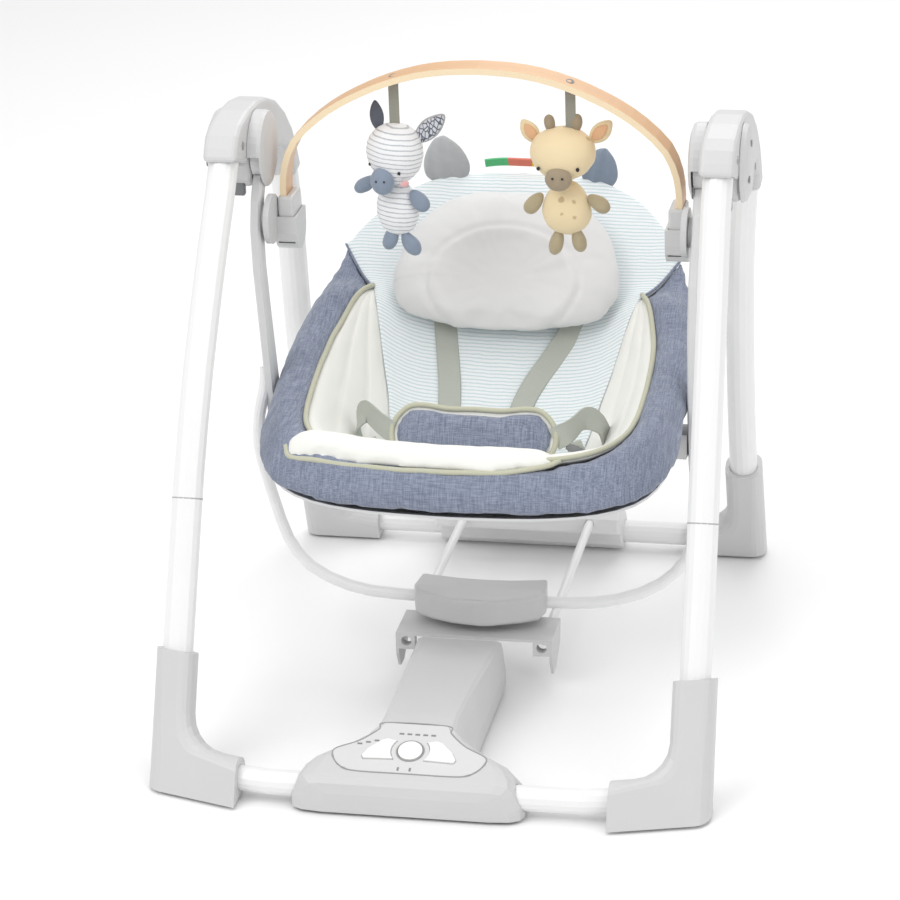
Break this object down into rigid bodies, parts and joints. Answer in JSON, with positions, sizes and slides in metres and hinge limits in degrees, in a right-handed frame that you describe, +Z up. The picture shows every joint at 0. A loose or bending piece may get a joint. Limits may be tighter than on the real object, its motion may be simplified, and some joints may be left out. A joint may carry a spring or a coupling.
{
  "type": "baby swing",
  "caption": "Folding portable baby swing with a padded reclining bucket seat, hanging plush toys on an arched bar and a motor console between its feet.",
  "frame": {"origin": "on the floor, under the centre of the swing's bounding box", "axes": "+Z up; -Y is the front, towards the control console and the baby's feet; +X is to the right of someone who looks along +Y"},
  "size_m": [0.5864, 0.7389, 0.6715],
  "materials": {
    "front_leg_left": "satin white powder coat",
    "front_leg_right": "satin white powder coat",
    "rear_leg_left": "satin white powder coat",
    "rear_leg_right": "satin white powder coat",
    "front_cross_tube": "satin white powder coat",
    "rear_cross_tube": "satin white powder coat",
    "link_rod_left": "satin white powder coat",
    "link_rod_right": "satin white powder coat",
    "swing_loop_tube": "satin white powder coat",
    "front_foot_left": "light grey, fine moulded texture",
    "front_foot_right": "light grey, fine moulded texture",
    "rear_foot_left": "light grey, fine moulded texture",
    "rear_foot_right": "light grey, fine moulded texture",
    "hub_housing_left": "light grey, fine moulded texture",
    "hub_housing_right": "light grey, fine moulded texture",
    "hub_outer_cover_left": "light grey, fine moulded texture",
    "hub_outer_cover_right": "light grey, fine moulded texture",
    "hub_inner_cover_left": "light grey, fine moulded texture",
    "hub_inner_cover_right": "light grey, fine moulded texture",
    "control_housing": "light grey, fine moulded texture",
    "control_panel": "light grey, fine moulded texture",
    "saddle_bracket": "light grey, fine moulded texture",
    "rear_housing": "light grey, fine moulded texture",
    "magnet_housing": "light grey, fine moulded texture",
    "seat_frame": "light grey, fine moulded texture",
    "swing_arm_left": "light grey, fine moulded texture",
    "swing_arm_right": "light grey, fine moulded texture",
    "toy_bar_cup_left": "light grey, fine moulded texture",
    "toy_bar_cup_right": "light grey, fine moulded texture",
    "toy_bar_plug_left": "light grey, fine moulded texture",
    "toy_bar_plug_right": "light grey, fine moulded texture",
    "control_base_plate": "dark grey",
    "battery_door": "dark grey",
    "fold_button_left": "dark grey",
    "fold_button_right": "dark grey",
    "power_button": "white",
    "timer_button": "white",
    "music_button": "white",
    "recline_bracket_left": "white",
    "recline_bracket_right": "white",
    "circuit_board": "green board",
    "swing_axle_left": "bare steel",
    "swing_axle_right": "bare steel",
    "fold_pin_left": "bare steel",
    "fold_pin_right": "bare steel",
    "magnet": "bare steel",
    "front_foot_pad_left": "matt",
    "front_foot_pad_right": "matt",
    "rear_foot_pad_left": "matt",
    "rear_foot_pad_right": "matt",
    "toy_bar": "satin wood-grain face, pale edges",
    "seat_pad": "blue chambray with striped and cream panels",
    "belly_pad": "blue chambray with cream piping",
    "head_pillow": "pale grey brushed knit",
    "shoulder_strap_left": "grey-green webbing",
    "shoulder_strap_right": "grey-green webbing",
    "waist_strap_left": "grey-green webbing",
    "waist_strap_right": "grey-green webbing",
    "zebra_toy": "striped plush",
    "giraffe_toy": "spotted plush"
  },
  "bodies": {
    "rear_frame": {"rear_leg_left": "rear_leg_left", "rear_leg_right": "rear_leg_right", "rear_foot_left": "rear_foot_left", "rear_foot_right": "rear_foot_right", "rear_foot_pad_left": "rear_foot_pad_left", "rear_foot_pad_right": "rear_foot_pad_right", "rear_cross_tube": "rear_cross_tube", "hub_housing_left": "hub_housing_left", "hub_housing_right": "hub_housing_right", "hub_outer_cover_left": "hub_outer_cover_left", "hub_outer_cover_right": "hub_outer_cover_right", "hub_inner_cover_left": "hub_inner_cover_left", "hub_inner_cover_right": "hub_inner_cover_right", "swing_axle_left": "swing_axle_left", "swing_axle_right": "swing_axle_right", "fold_pin_left": "fold_pin_left", "fold_pin_right": "fold_pin_right"},
    "front_frame": {"front_leg_left": "front_leg_left", "front_leg_right": "front_leg_right", "front_foot_left": "front_foot_left", "front_foot_right": "front_foot_right", "front_foot_pad_left": "front_foot_pad_left", "front_foot_pad_right": "front_foot_pad_right", "front_cross_tube": "front_cross_tube"},
    "base_beam": {"control_housing": "control_housing", "control_base_plate": "control_base_plate", "control_panel": "control_panel", "circuit_board": "circuit_board", "saddle_bracket": "saddle_bracket"},
    "rear_link": {"rear_housing": "rear_housing", "link_rod_left": "link_rod_left", "link_rod_right": "link_rod_right"},
    "swing": {"swing_arm_left": "swing_arm_left", "swing_arm_right": "swing_arm_right", "swing_loop_tube": "swing_loop_tube", "magnet_housing": "magnet_housing", "magnet": "magnet"},
    "seat": {"seat_pad": "seat_pad", "seat_frame": "seat_frame", "head_pillow": "head_pillow", "belly_pad": "belly_pad", "shoulder_strap_left": "shoulder_strap_left", "shoulder_strap_right": "shoulder_strap_right", "waist_strap_left": "waist_strap_left", "waist_strap_right": "waist_strap_right", "recline_bracket_left": "recline_bracket_left", "recline_bracket_right": "recline_bracket_right"},
    "toy_bar_mount": {"toy_bar_cup_left": "toy_bar_cup_left", "toy_bar_cup_right": "toy_bar_cup_right"},
    "toy_bar": {"toy_bar": "toy_bar", "toy_bar_plug_left": "toy_bar_plug_left", "toy_bar_plug_right": "toy_bar_plug_right"},
    "zebra": {"zebra_toy": "zebra_toy"},
    "giraffe": {"giraffe_toy": "giraffe_toy"},
    "fold_catch_left": {"fold_button_left": "fold_button_left"},
    "fold_catch_right": {"fold_button_right": "fold_button_right"},
    "power_key": {"power_button": "power_button"},
    "timer_key": {"timer_button": "timer_button"},
    "music_key": {"music_button": "music_button"},
    "battery_lid": {"battery_door": "battery_door"}
  },
  "joints": [
    {"name": "fold", "type": "hinge", "parent": "rear_frame", "child": "front_frame", "pos_m": [0, 0.00026, 0.594], "axis": [1, 0, 0], "range_deg": [0, 24]},
    {"name": "beam_fold", "type": "hinge", "parent": "front_frame", "child": "base_beam", "pos_m": [0, -0.34074, 0.021], "axis": [1, 0, 0], "range_deg": [-12, 0]},
    {"name": "rod_fold", "type": "hinge", "parent": "rear_frame", "child": "rear_link", "pos_m": [0, 0.34126, 0.021], "axis": [1, 0, 0], "range_deg": [0, 12]},
    {"name": "swing", "type": "hinge", "parent": "rear_frame", "child": "swing", "pos_m": [0, 0.05426, 0.575], "axis": [1, 0, 0], "range_deg": [-11, 11]},
    {"name": "seat_recline", "type": "hinge", "parent": "swing", "child": "seat", "pos_m": [0, 0.03926, 0.262], "axis": [1, 0, 0], "range_deg": [-10, 8]},
    {"name": "toy_bar_turn", "type": "hinge", "parent": "swing", "child": "toy_bar_mount", "pos_m": [0, 0.02926, 0.504], "axis": [1, 0, 0], "range_deg": [-15, 45]},
    {"name": "toy_bar_lift", "type": "slide", "parent": "toy_bar_mount", "child": "toy_bar", "axis": [0, 0, 1], "range_m": [0, 0.055]},
    {"name": "zebra_hang", "type": "hinge", "parent": "toy_bar", "child": "zebra", "pos_m": [-0.0925, 0.06326, 0.652], "axis": [1, 0, 0], "range_deg": [-30, 30]},
    {"name": "giraffe_hang", "type": "hinge", "parent": "toy_bar", "child": "giraffe", "pos_m": [0.0975, 0.06326, 0.651], "axis": [1, 0, 0], "range_deg": [-30, 30]},
    {"name": "fold_catch_press_left", "type": "slide", "parent": "rear_frame", "child": "fold_catch_left", "axis": [0, 0, 1], "range_m": [0, 0.0035], "stiffness_N_per_m": 300},
    {"name": "fold_catch_press_right", "type": "slide", "parent": "rear_frame", "child": "fold_catch_right", "axis": [0, 0, 1], "range_m": [0, 0.0035], "stiffness_N_per_m": 300},
    {"name": "power_press", "type": "slide", "parent": "base_beam", "child": "power_key", "axis": [0, 0.3354, -0.9421], "range_m": [0, 0.0012], "stiffness_N_per_m": 400},
    {"name": "timer_press", "type": "slide", "parent": "base_beam", "child": "timer_key", "axis": [0, 0.3354, -0.9421], "range_m": [0, 0.0012], "stiffness_N_per_m": 400},
    {"name": "music_press", "type": "slide", "parent": "base_beam", "child": "music_key", "axis": [0, 0.3354, -0.9421], "range_m": [0, 0.0012], "stiffness_N_per_m": 400},
    {"name": "battery_door_open", "type": "hinge", "parent": "base_beam", "child": "battery_lid", "pos_m": [-0.015, -0.24674, 0.0018], "axis": [1, 0, 0], "range_deg": [-95, 0]}
  ],
  "couplings": [
    {"joint": "beam_fold", "follows": "fold", "ratio": -0.5},
    {"joint": "rod_fold", "follows": "fold", "ratio": 0.5}
  ]
}
